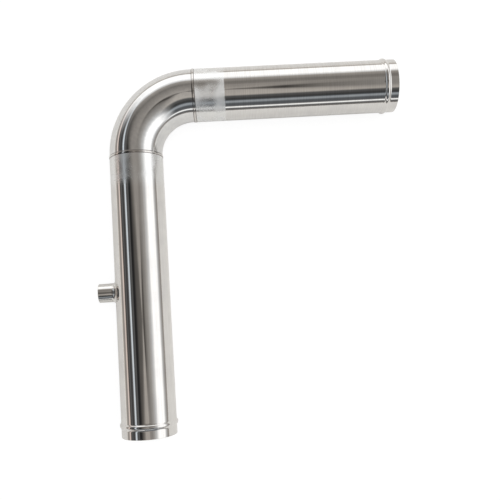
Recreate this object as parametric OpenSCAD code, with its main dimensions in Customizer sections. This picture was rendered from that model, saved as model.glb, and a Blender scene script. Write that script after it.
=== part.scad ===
// Welded exhaust pipe: two straight tubes, a right-angle elbow and a side stub.
// It lies on its side: X along the upper tube, Y along the lower tube, Z up from the floor.

/* [Main tubes] */
// Outside diameter of both straight tubes
tube_od = 63.5; // [54:0.5:80]
// Wall of both straight tubes, whose bore runs on through the elbow
tube_wall = 1.5; // [1:0.1:2]
// Lower tube, from its end face to the middle of its weld seam
lower_len = 327; // [230:1:500]
// Upper tube, from its end face to the middle of its weld seam
upper_len = 246; // [120:1:400]
// Chamfer on the outer edge of each open end
edge_break = 0.3; // [0.1:0.05:0.6]

/* [Elbow] */
// Bend radius of the elbow's centreline
bend_r = 71.5; // [60:0.5:140]
// Straight length at each end of the elbow
elbow_tangent = 2.5; // [2.5:0.1:10]
// How far the elbow's surface lies inside the tubes' surface
elbow_neck = 0.3; // [0.1:0.05:0.6]

/* [Rolled beads] */
// From an end face to the middle of its bead
bead_inset = 13.5; // [9:0.5:30]
// Height of a bead above the tube
bead_height = 1.6; // [0.8:0.1:2.4]
// Width of a bead, from foot to foot
bead_width = 8.8; // [7.4:0.1:14]

/* [Side stub] */
// Outside diameter of the stub
stub_od = 22.2; // [14:0.1:36]
// Wall of the stub
stub_wall = 1.5; // [1:0.1:2.5]
// How far the stub reaches beyond the side of the lower tube
stub_reach = 19; // [10:0.5:60]
// From the lower end face to the stub's axis
stub_place = 166.5; // [50:0.5:200]

/* [Welds] */
// Gap that a seam weld fills between two tube ends
weld_root = 1.2; // [0.6:0.1:2]
// Width of a seam weld's crown
weld_width = 3.6; // [2.6:0.1:4.4]
// Height of a seam weld's crown above the tube
weld_crown = 0.35; // [0.15:0.05:0.8]
// Leg of the fillet weld round the stub
fillet_leg = 3; // [1.5:0.1:5]
// How deep the fillet weld has melted into the stub's wall
fillet_melt = 0.3; // [0.2:0.05:0.5]

/* [Hidden] */
$fn = 96;
// Fineness of the round bars that the stub and its weld are trimmed to
trim_fn = 360;

tube_r = tube_od / 2;
bore_r = tube_r - tube_wall;
elbow_r = tube_r - elbow_neck;
stub_r = stub_od / 2;
// Extra length of a cutting tool past the face that it cuts
past = 1;
// Share of the bead's two tangent arcs that the crown arc takes
crown_share = 0.52;
// From the lower tube's axis to the fillet weld's toe on the stub
fillet_toe = tube_r + fillet_leg;
// Steps round the stub and across the fillet weld
fillet_turns = 40;
fillet_steps = 5;
// How far the fillet's core reaches into the walls before it is trimmed to them
fillet_core = 0.6;
// How far the fillet's face runs into the walls, so that its toes are trimmed clean
fillet_bite = 0.05;

// The two tube axes cross at this distance from each seam
corner = bend_r + elbow_tangent;
// Straight end of the elbow itself, up to the seam weld's root
elbow_end = elbow_tangent - weld_root / 2;
half_bead = bead_width / 2;
// Crown arc and foot arc of a bead together, from two arcs that touch
bead_arcs = (pow(half_bead, 2) + pow(bead_height, 2)) / (2 * bead_height);
crown_r = crown_share * bead_arcs;
foot_r = bead_arcs - crown_r;
// Arc radius of a seam weld's crown
seam_arc_r = (pow(weld_width / 2, 2) + pow(weld_crown, 2)) / (2 * weld_crown);

// Box of the whole pipe, measured from the centre of the lower end face
stub_end = tube_r + stub_reach;
bead_r = tube_r + bead_height;
low_x = -max(stub_end, bead_r);
high_x = corner + upper_len;
high_y = lower_len + corner + bead_r;

// Moves the centre of the lower end face so that the box stands centred on the origin
module placed() {
    translate([-(low_x + high_x) / 2, -high_y / 2, bead_r]) children();
}

// Section of a ridge on the line x = 0, rounded at its crown and at both feet
module ridge(crown, foot) {
    share = crown / (crown + foot);
    crown_x = bead_height - crown;
    meet_x = crown_x + share * (foot - crown_x);
    meet_y = share * half_bead;
    intersection() {
        translate([crown_x, 0]) circle(crown);
        translate([meet_x, -half_bead]) square([bead_height, bead_width]);
    }
    difference() {
        polygon([[0, -half_bead], [meet_x, -meet_y], [meet_x, meet_y], [0, half_bead]]);
        for (side = [-1, 1]) translate([foot, side * half_bead]) circle(foot);
    }
}

// Section of a tube wall that starts with a chamfered open end
module wall_section(outer_r, wall, length) {
    polygon([
        [outer_r - wall, 0],
        [outer_r - edge_break, 0],
        [outer_r, edge_break],
        [outer_r, length],
        [outer_r - wall, length]
    ]);
}

// Straight tube along +Z from its open end, with a bead rolled out of its wall
module beaded_tube(length) {
    rotate_extrude() difference() {
        union() {
            wall_section(tube_r, tube_wall, length);
            translate([tube_r, bead_inset]) ridge(crown_r, foot_r);
        }
        translate([bore_r, bead_inset]) ridge(crown_r - tube_wall, foot_r + tube_wall);
    }
}

// Solid bar along the elbow's centreline, with straight ends and the bend's centre at the origin
module elbow_bar(radius, ends) {
    rotate([0, 0, 90]) rotate_extrude(angle = 90) translate([bend_r, 0]) circle(radius);
    translate([-bend_r, 0, 0]) rotate([90, 0, 0]) cylinder(r = radius, h = ends);
    translate([0, bend_r, 0]) rotate([0, 90, 0]) cylinder(r = radius, h = ends);
}

// Seam weld round the Z axis: the tube lies below it and the elbow above
module seam_ring() {
    rotate_extrude() difference() {
        union() {
            translate([bore_r, -weld_root / 2]) square([tube_wall, weld_root]);
            intersection() {
                translate([tube_r + weld_crown - seam_arc_r, 0]) circle(seam_arc_r);
                translate([bore_r, -weld_width / 2]) square([tube_wall + weld_crown, weld_width]);
            }
        }
        translate([0, -weld_width]) square([tube_r, weld_width - weld_root / 2]);
        translate([0, weld_root / 2]) square([elbow_r, weld_width]);
    }
}

// Distance from the lower tube's axis to its surface, at a height beside that axis
function side_of_tube(height) = sqrt(pow(tube_r, 2) - pow(height, 2));

// Point of the fillet weld: out from the stub's axis, round it, and up from the tube's surface
function fillet_point(out, turn, up) = [
    -side_of_tube(out * sin(turn)) - up,
    out * cos(turn),
    out * sin(turn)
];

// Closed section of the fillet weld at one turn round the stub, level at its toe on the stub
function fillet_section(turn) =
    let (rise = fillet_toe - side_of_tube(stub_r * sin(turn)))
    [
        for (step = [0:fillet_steps])
            let (
                slope = 90 * step / fillet_steps,
                out = stub_r - fillet_bite + (fillet_leg + fillet_bite) * (1 - sin(slope)),
                up = -fillet_bite + (rise + 2 * fillet_bite) * (1 - cos(slope))
            )
            fillet_point(out, turn, up),
        fillet_point(stub_r - fillet_core, turn, rise),
        fillet_point(stub_r - fillet_core, turn, -fillet_core),
        fillet_point(stub_r + fillet_leg, turn, -fillet_core)
    ];

// Ring that follows the saddle where the stub meets the tube
module fillet_ring() {
    sections = [for (i = [0:fillet_turns - 1]) fillet_section(360 * i / fillet_turns)];
    side = len(sections[0]);
    points = [for (section = sections) for (point = section) point];
    faces = [
        for (i = [0:fillet_turns - 1])
            for (j = [0:side - 1])
                let (
                    near = i * side,
                    far = (i + 1) % fillet_turns * side,
                    next = (j + 1) % side
                )
                for (face = [[near + j, far + j, far + next], [near + j, far + next, near + next]]) face
    ];
    polyhedron(points = points, faces = faces, convexity = 6);
}

// Bar along the stub's axis, outward from a distance beside the lower tube's axis
module stub_bar(radius, start = 0) {
    translate([-start, 0, 0]) rotate([0, -90, 0])
        cylinder(r = radius, h = stub_end + past - start, $fn = trim_fn);
}

// Bar that fills the lower tube's outline
module tube_bar() {
    rotate([-90, 0, 0]) cylinder(r = tube_r, h = lower_len, $fn = trim_fn);
}

module lower_tube() {
    color([0.80, 0.80, 0.79]) placed() difference() {
        rotate([-90, 0, 0]) beaded_tube(lower_len - weld_root / 2);
        translate([0, stub_place, 0]) stub_bar(stub_r - stub_wall);
    }
}

module lower_weld() {
    color([0.62, 0.60, 0.58]) placed() translate([0, lower_len, 0]) rotate([-90, 0, 0]) seam_ring();
}

module elbow() {
    color([0.74, 0.75, 0.76]) placed() translate([bend_r, lower_len + elbow_tangent, 0]) difference() {
        elbow_bar(elbow_r, elbow_end);
        elbow_bar(bore_r, elbow_end + past);
    }
}

module upper_weld() {
    color([0.62, 0.60, 0.58]) placed()
        translate([corner, lower_len + corner, 0]) rotate([0, -90, 0]) seam_ring();
}

module upper_tube() {
    color([0.80, 0.80, 0.79]) placed() translate([high_x, lower_len + corner, 0])
        rotate([0, -90, 0]) beaded_tube(upper_len - weld_root / 2);
}

module side_stub() {
    color([0.78, 0.78, 0.77]) placed() difference() {
        translate([-stub_end, stub_place, 0]) rotate([0, 90, 0])
            rotate_extrude() wall_section(stub_r, stub_wall, stub_end);
        tube_bar();
        translate([0, stub_place, 0]) rotate([0, -90, 0]) difference() {
            cylinder(r = stub_r + past, h = fillet_toe);
            cylinder(r = stub_r - fillet_melt, h = fillet_toe + past);
        }
    }
}

module stub_weld() {
    color([0.66, 0.64, 0.61]) placed() difference() {
        translate([0, stub_place, 0]) fillet_ring();
        translate([0, stub_place, 0]) stub_bar(stub_r - fillet_melt);
        translate([0, stub_place, 0]) stub_bar(stub_r, fillet_toe);
        tube_bar();
    }
}

lower_tube();
lower_weld();
elbow();
upper_weld();
upper_tube();
side_stub();
stub_weld();
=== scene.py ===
"""Looks of a welded exhaust pipe: polished tubes, a softer elbow, a small stub and ground seam welds."""

import math

import bpy
from mathutils import Matrix, Vector


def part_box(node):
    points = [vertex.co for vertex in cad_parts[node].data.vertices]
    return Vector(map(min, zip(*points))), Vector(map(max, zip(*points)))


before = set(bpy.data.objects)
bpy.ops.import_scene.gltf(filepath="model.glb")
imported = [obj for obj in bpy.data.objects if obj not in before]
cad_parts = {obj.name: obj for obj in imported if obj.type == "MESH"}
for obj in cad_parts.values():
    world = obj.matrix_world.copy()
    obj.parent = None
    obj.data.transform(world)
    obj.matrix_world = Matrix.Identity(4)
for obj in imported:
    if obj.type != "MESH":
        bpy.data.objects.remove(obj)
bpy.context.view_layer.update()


def middle(node):
    """Middle of a node's box."""
    low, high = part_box(node)
    return (low + high) / 2


WHITE = (1, 1, 1, 1)

# Photograph's frame, in pixels, and the camera that was fitted to it, in metres
IMAGE_SIDE = 500
FOCAL_PX = 591.19
PRINCIPAL_POINT_PX = (250.74, 255.11)
SENSOR_MM = 36
CAMERA_PLACE = Vector((-0.03618, -0.08418, 0.73793))
CAMERA_FORWARD = Vector((0.04487, 0.09575, -0.99439))
CAMERA_RIGHT = Vector((0.99705, -0.06627, 0.03861))

# Where each tube's axis meets its seam. The pipe rests on its beads, a bead's radius below the axes
LOWER_SEAM = middle("lower_weld")
UPPER_SEAM = middle("upper_weld")
BEAD_RADIUS = LOWER_SEAM.z

# Floor and fill light, in metres and watts
FLOOR_HALF = 0.5
FLOOR_PALE = (0.80, 0.79, 0.77, 1)
FLOOR_UNDER_CAMERA = (0.15, 0.15, 0.15, 1)
FLOOR_GLOW_CAMERA = 0.90
FLOOR_GLOW_GLOSSY = 0.06
FILL_SIDE = 1.6
FILL_HEIGHT = 1.7
FILL_WATTS = 18

# Steel: darker and lighter colour
TUBE_STEEL = ((0.72, 0.71, 0.70, 1), (0.78, 0.77, 0.75, 1))
SATIN_STEEL = ((0.78, 0.78, 0.77, 1), (0.86, 0.87, 0.87, 1))
ELBOW_STEEL = ((0.70, 0.70, 0.70, 1), (0.78, 0.78, 0.77, 1))
STUB_STEEL = ((0.68, 0.67, 0.65, 1), (0.78, 0.77, 0.75, 1))
WELD_STEEL = ((0.62, 0.60, 0.58, 1), (0.80, 0.79, 0.77, 1))
LINE_SHADE = (0.58, 0.56, 0.54, 1)
# Painted shade: a dark colour for a seam ring's sides, standing in for the dark reflections beside its
# crown
SEAM_SIDE_PAINTED_SHADE = (0.22, 0.20, 0.19, 1)

# Roughness at no noise, and what full noise adds
POLISH_ROUGHNESS = (0.015, 0.05)
SATIN_ROUGHNESS = (0.16, 0.20)
ELBOW_ROUGHNESS = (0.02, 0.05)
STUB_ROUGHNESS = (0.05, 0.09)
WELD_ROUGHNESS = (0.06, 0.10)

# Noise: waves in a metre, detail, and the two noise levels between which a look changes
DRIFT_WAVES = 45.0
SMEAR_WAVES = 42.0
CLOUD_WAVES = 60.0
SMEAR_DETAIL = 1.0
NOISE_DETAIL = 3.0
DRIFT_LEVELS = (0.3, 0.7)
SMEAR_LEVELS = (0.34, 0.70)
LINE_LEVELS = (0.35, 0.65)
EVEN_WAVES = (260, 260, 260)
STUB_WAVES = (60, 900, 900)
WELD_WAVES = (900, 900, 900)

# Strength of the bump that each grain makes
ELBOW_BUMP = 0.01
STUB_BUMP = 0.02
WELD_BUMP = 0.05

# Depth of fine marks, and the bright middle and the painted-shade dark sides of a seam, in metres
LINE_DEPTH = 0.00001
GRAIN_DEPTH = 0.00002
SEAM_BRIGHT_TO = 0.0006
SEAM_PAINTED_SHADE_FROM = 0.0014

# Tints of the studio's light
NEUTRAL = (1.0, 1.0, 1.0)
WARM = (1.0, 0.96, 0.91)
BROWN = (1.0, 0.93, 0.86)
PINK = (1.0, 0.85, 0.78)
BLUE = (0.90, 0.97, 1.04)

# Farthest angle from straight up in both lists of panels, in degrees
CARD_SPAN = 120
# How softly the panels to the sides and those to the ends blend where they meet
MEETING_SOFTNESS = 0.35
# Keeps that blend steady straight up, where a direction points to neither
MEETING_STEADY = 0.02

# Studio seen by the lower tube: degrees from straight up towards +X, brightness, tint
SIDE_CARDS = [
    (-120, 0.95, WARM),
    (-97, 0.95, WARM),
    (-93, 0.45, BROWN),
    (-84, 0.30, BROWN),
    (-80, 0.95, PINK),
    (-76, 0.75, PINK),
    (-73, 0.05, BROWN),
    (-66, 0.14, NEUTRAL),
    (-60, 0.05, NEUTRAL),
    (-53, 0.13, NEUTRAL),
    (-49.5, 0.95, BLUE),
    (-46.5, 0.95, BLUE),
    (-43, 0.08, NEUTRAL),
    (-36, 0.13, NEUTRAL),
    (-31, 0.02, NEUTRAL),
    (-25, 0.03, NEUTRAL),
    (-19, 0.11, BROWN),
    (-9, 0.14, BROWN),
    (3, 0.20, BROWN),
    (6.5, 0.06, BROWN),
    (10, 0.21, BROWN),
    (25, 0.42, WARM),
    (37, 0.72, NEUTRAL),
    (46, 1.42, NEUTRAL),
    (72, 1.42, NEUTRAL),
    (80, 0.60, NEUTRAL),
    (90, 0.32, BROWN),
    (96, 0.60, WARM),
    (100, 0.95, WARM),
    (120, 0.95, WARM),
]

# Studio seen by the upper tube: degrees from straight up towards -Y, brightness, tint
END_CARDS = [
    (-120, 0.80, WARM),
    (-96, 0.80, WARM),
    (-92, 0.42, BROWN),
    (-88, 0.80, WARM),
    (-85, 1.42, NEUTRAL),
    (-60, 1.42, NEUTRAL),
    (-52, 0.85, NEUTRAL),
    (-47, 0.42, BROWN),
    (-32, 0.22, BROWN),
    (-14, 0.34, BROWN),
    (0, 0.45, BROWN),
    (24, 0.52, BROWN),
    (30, 0.12, NEUTRAL),
    (42, 0.05, NEUTRAL),
    (47, 0.10, BLUE),
    (51, 0.40, BLUE),
    (56, 0.38, BLUE),
    (61, 0.14, BLUE),
    (70, 0.11, BLUE),
    (75, 0.30, NEUTRAL),
    (77, 1.30, NEUTRAL),
    (79.5, 1.30, NEUTRAL),
    (83, 0.20, NEUTRAL),
    (88, 0.14, NEUTRAL),
    (95, 0.30, BROWN),
    (101, 0.90, WARM),
    (120, 0.90, WARM),
]


class Graph:
    """Builds the nodes of one shader with short calls."""

    def __init__(self, tree):
        self.tree = tree
        tree.nodes.clear()

    def put(self, socket, value):
        """Links a socket into an input, or writes a plain value there."""
        if isinstance(value, bpy.types.NodeSocket):
            self.tree.links.new(value, socket)
        else:
            socket.default_value = value

    def node(self, kind, **inputs):
        made = self.tree.nodes.new("ShaderNode" + kind)
        for name, value in inputs.items():
            self.put(made.inputs[name], value)
        return made

    def output(self, kind, shader):
        """Ends the shader in its output node."""
        out = self.node(kind)
        self.put(out.inputs["Surface"], shader)

    def math(self, operation, *values):
        made = self.node("Math")
        made.operation = operation
        for socket, value in zip(made.inputs, values):
            self.put(socket, value)
        return made.outputs[0]

    def vector(self, x, y, z):
        return self.node("CombineXYZ", X=x, Y=y, Z=z).outputs[0]

    def parts(self, vector):
        return self.node("SeparateXYZ", Vector=vector).outputs

    def noise(self, vector, waves, detail):
        return self.node("TexNoise", Vector=vector, Scale=waves, Detail=detail).outputs["Fac"]

    def between(self, value, levels, top=1.0):
        """Rises smoothly from nothing to the top as the value goes from the first level to the second."""
        made = self.node("MapRange")
        made.interpolation_type = "SMOOTHSTEP"
        for socket, given in zip(made.inputs, (value, *levels, 0.0, top)):
            self.put(socket, given)
        return made.outputs[0]

    def blend(self, share, first, second):
        """Colour between the first, at share 0, and the second, at share 1."""
        made = self.node("Mix")
        made.data_type = "RGBA"
        colors = [socket for socket in made.inputs if socket.type == "RGBA"]
        self.put(made.inputs["Factor"], share)
        self.put(colors[0], first)
        self.put(colors[1], second)
        return next(socket for socket in made.outputs if socket.type == "RGBA")

    def ramp(self, share, stops):
        made = self.node("ValToRGB", Fac=share)
        elements = made.color_ramp.elements
        for element, (position, color) in zip(elements, (stops[0], stops[-1])):
            element.position = position
            element.color = color
        for position, color in stops[1:-1]:
            elements.new(position).color = color
        return made.outputs["Color"]


def card_ramp(graph, angle, cards):
    """Light of a row of studio panels at an angle in radians."""
    share = graph.math("MULTIPLY_ADD", angle, 1 / math.radians(2 * CARD_SPAN), 0.5)
    stops = []
    for degrees, level, tint in cards:
        color = [level * part for part in tint] + [1]
        stops.append(((degrees + CARD_SPAN) / (2 * CARD_SPAN), color))
    return graph.ramp(share, stops)


def make_world():
    """White for the camera. For all else, panels beside the pipe and beyond its ends, by direction."""
    world = bpy.data.worlds.new("studio")
    bpy.context.scene.world = world
    world.use_nodes = True
    graph = Graph(world.node_tree)
    x, y, z = graph.parts(graph.node("TexCoord").outputs["Generated"])
    side = card_ramp(graph, graph.math("ARCTAN2", x, z), SIDE_CARDS)
    end = card_ramp(graph, graph.math("ARCTAN2", graph.math("MULTIPLY", y, -1.0), z), END_CARDS)
    across = graph.math("ABSOLUTE", x)
    along = graph.math("ABSOLUTE", y)
    lead = graph.math("SUBTRACT", across, along)
    total = graph.math("ADD", graph.math("ADD", across, along), MEETING_STEADY)
    share = graph.between(graph.math("DIVIDE", lead, total), (-MEETING_SOFTNESS, MEETING_SOFTNESS))
    seen = graph.blend(share, end, side)
    camera = graph.node("LightPath").outputs["Is Camera Ray"]
    color = graph.blend(camera, seen, WHITE)
    graph.output("OutputWorld", graph.node("Background", Color=color, Strength=1.0).outputs[0])


def floor_material():
    """Pale floor that is white to the camera away from the pipe's shadow."""
    material = bpy.data.materials.new("floor_pale")
    material.use_nodes = True
    graph = Graph(material.node_tree)
    path = graph.node("LightPath").outputs
    color = graph.blend(path["Is Camera Ray"], FLOOR_PALE, FLOOR_UNDER_CAMERA)
    reflected = graph.math("MAXIMUM", path["Is Glossy Ray"], path["Is Transmission Ray"])
    glow = graph.math("MULTIPLY", reflected, FLOOR_GLOW_GLOSSY)
    glow = graph.math("MULTIPLY_ADD", path["Is Camera Ray"], FLOOR_GLOW_CAMERA, glow)
    total = graph.node("AddShader")
    graph.put(total.inputs[0], graph.node("BsdfDiffuse", Color=color).outputs[0])
    graph.put(total.inputs[1], graph.node("Emission", Color=WHITE, Strength=glow).outputs[0])
    graph.output("OutputMaterial", total.outputs[0])
    return material


def make_floor():
    corners = [(-1, -1), (1, -1), (1, 1), (-1, 1)]
    mesh = bpy.data.meshes.new("floor")
    mesh.from_pydata([(x * FLOOR_HALF, y * FLOOR_HALF, 0) for x, y in corners], [], [(0, 1, 2, 3)])
    mesh.materials.append(floor_material())
    floor = bpy.data.objects.new("floor", mesh)
    bpy.context.scene.collection.objects.link(floor)


def make_fill():
    """Soft light from above that gives the floor its level and doesn't show in the metal."""
    light = bpy.data.lights.new("fill", "AREA")
    light.size = FILL_SIDE
    light.energy = FILL_WATTS
    lamp = bpy.data.objects.new("fill", light)
    lamp.location = (0, 0, FILL_HEIGHT)
    lamp.visible_glossy = False
    bpy.context.scene.collection.objects.link(lamp)


def make_camera():
    data = bpy.data.cameras.new("camera")
    data.sensor_width = SENSOR_MM
    data.lens = FOCAL_PX / IMAGE_SIDE * SENSOR_MM
    data.shift_x = 0.5 - PRINCIPAL_POINT_PX[0] / IMAGE_SIDE
    data.shift_y = PRINCIPAL_POINT_PX[1] / IMAGE_SIDE - 0.5
    camera = bpy.data.objects.new("camera", data)
    back = -CAMERA_FORWARD.normalized()
    up = back.cross(CAMERA_RIGHT).normalized()
    right = up.cross(back)
    turn = Matrix((right, up, back)).transposed().to_4x4()
    camera.matrix_world = Matrix.Translation(CAMERA_PLACE) @ turn
    bpy.context.scene.collection.objects.link(camera)
    bpy.context.scene.camera = camera


def metal(name):
    """New metal material, with its graph and its surface shader."""
    material = bpy.data.materials.new(name)
    material.use_nodes = True
    graph = Graph(material.node_tree)
    surface = graph.node("BsdfPrincipled", Metallic=1.0)
    graph.output("OutputMaterial", surface.outputs[0])
    return material, graph, surface


def tube_coordinates(graph, along, across, seam, outward):
    """Metres from the seam towards the open end, and metres round the tube at a bead's radius."""
    place = graph.parts(graph.node("TexCoord").outputs["Object"])
    side = graph.math("SUBTRACT", place[across.upper()], getattr(seam, across))
    height = graph.math("SUBTRACT", place["Z"], BEAD_RADIUS)
    around = graph.math("MULTIPLY", graph.math("ARCTAN2", side, height), BEAD_RADIUS)
    length = graph.math("SUBTRACT", place[along.upper()], getattr(seam, along))
    return graph.math("MULTIPLY", length, outward), around


def polished_tube(name, along, across, seam, outward, satin, lines):
    """Mirror polish with fine lines, and a satin band beside the seam."""
    material, graph, surface = metal(name)
    length, around = tube_coordinates(graph, along, across, seam, outward)
    spot = graph.vector(length, around, 0.0)

    drift = graph.noise(spot, DRIFT_WAVES, NOISE_DETAIL)
    waver = graph.math("SUBTRACT", drift, 0.5)
    edge = graph.math("MULTIPLY_ADD", waver, satin["waver"], length)
    satin_share = graph.between(edge, (satin["end"], satin["start"]))
    line_length = graph.math("MULTIPLY", length, lines["waves_along"])
    line_around = graph.math("MULTIPLY", around, lines["waves_round"])
    fine = graph.noise(graph.vector(line_length, line_around, 0.0), 1.0, NOISE_DETAIL)
    smears = graph.between(graph.noise(spot, SMEAR_WAVES, SMEAR_DETAIL), SMEAR_LEVELS)

    plain = graph.blend(graph.between(drift, DRIFT_LEVELS), *TUBE_STEEL)
    lined = graph.blend(graph.between(fine, LINE_LEVELS, lines["shade"]), plain, LINE_SHADE)
    hazed = graph.blend(smears, *SATIN_STEEL)
    graph.put(surface.inputs["Base Color"], graph.blend(satin_share, lined, hazed))

    polish = graph.math("MULTIPLY_ADD", fine, POLISH_ROUGHNESS[1], POLISH_ROUGHNESS[0])
    matt = graph.math("MULTIPLY_ADD", smears, SATIN_ROUGHNESS[1], SATIN_ROUGHNESS[0])
    rise = graph.math("SUBTRACT", matt, polish)
    graph.put(surface.inputs["Roughness"], graph.math("MULTIPLY_ADD", rise, satin_share, polish))

    haze = graph.math("MULTIPLY", satin_share, smears)
    graph.put(surface.inputs["Metallic"], graph.math("MULTIPLY_ADD", haze, satin["haze"], 1.0))
    bump = graph.node("Bump", Strength=lines["bump"], Distance=LINE_DEPTH, Height=fine)
    graph.put(surface.inputs["Normal"], bump.outputs[0])
    return material


def soft_polish(name, steel, roughness, waves, bump_strength, ring=None):
    """Evenly polished metal with a grain and soft clouds, and with painted shade on its sides where it is
    a seam ring.
    """
    material, graph, surface = metal(name)
    place = graph.node("TexCoord").outputs["Object"]
    parts = graph.parts(place)
    cloud = graph.noise(place, CLOUD_WAVES, NOISE_DETAIL)
    stretched = graph.vector(*(graph.math("MULTIPLY", part, wave) for part, wave in zip(parts, waves)))
    fine = graph.noise(stretched, 1.0, NOISE_DETAIL)
    share = graph.math("MULTIPLY_ADD", fine, 0.5, graph.math("MULTIPLY", cloud, 0.5))

    color = graph.blend(graph.between(share, LINE_LEVELS), *steel)
    # Painted shade: away from its middle, a seam ring darkens to the painted-shade colour of its sides
    if ring:
        axis, seam = ring
        away = graph.math("ABSOLUTE", graph.math("SUBTRACT", parts[axis.upper()], getattr(seam, axis)))
        color = graph.blend(graph.between(away, (SEAM_BRIGHT_TO, SEAM_PAINTED_SHADE_FROM)), color, SEAM_SIDE_PAINTED_SHADE)
    graph.put(surface.inputs["Base Color"], color)
    graph.put(surface.inputs["Roughness"], graph.math("MULTIPLY_ADD", share, roughness[1], roughness[0]))
    bump = graph.node("Bump", Strength=bump_strength, Distance=GRAIN_DEPTH, Height=fine)
    graph.put(surface.inputs["Normal"], bump.outputs[0])
    return material


def lower_tube_steel():
    return polished_tube(
        "lower_tube_steel", "y", "x", LOWER_SEAM, -1.0,
        satin={"start": 0.026, "end": 0.044, "waver": 0.012, "haze": -0.04},
        lines={"waves_along": 18.0, "waves_round": 900.0, "shade": 0.35, "bump": 0.03},
    )


def upper_tube_steel():
    return polished_tube(
        "upper_tube_steel", "x", "y", UPPER_SEAM, 1.0,
        satin={"start": 0.0364, "end": 0.0376, "waver": 0.0008, "haze": -0.38},
        lines={"waves_along": 900.0, "waves_round": 25.0, "shade": 0.35, "bump": 0.03},
    )


def weld_steel(name, ring=None):
    return soft_polish(name, WELD_STEEL, WELD_ROUGHNESS, WELD_WAVES, WELD_BUMP, ring)


def dress_pipe():
    looks = {
        "lower_tube": lower_tube_steel(),
        "upper_tube": upper_tube_steel(),
        "elbow": soft_polish("elbow_steel", ELBOW_STEEL, ELBOW_ROUGHNESS, EVEN_WAVES, ELBOW_BUMP),
        "side_stub": soft_polish("stub_steel", STUB_STEEL, STUB_ROUGHNESS, STUB_WAVES, STUB_BUMP),
        "stub_weld": weld_steel("weld_steel"),
        "lower_weld": weld_steel("lower_weld_steel", ("y", LOWER_SEAM)),
        "upper_weld": weld_steel("upper_weld_steel", ("x", UPPER_SEAM)),
    }
    for node, material in looks.items():
        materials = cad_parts[node].data.materials
        materials.clear()
        materials.append(material)


bpy.context.scene.view_settings.view_transform = "Standard"
make_camera()
make_world()
make_floor()
make_fill()
dress_pipe()
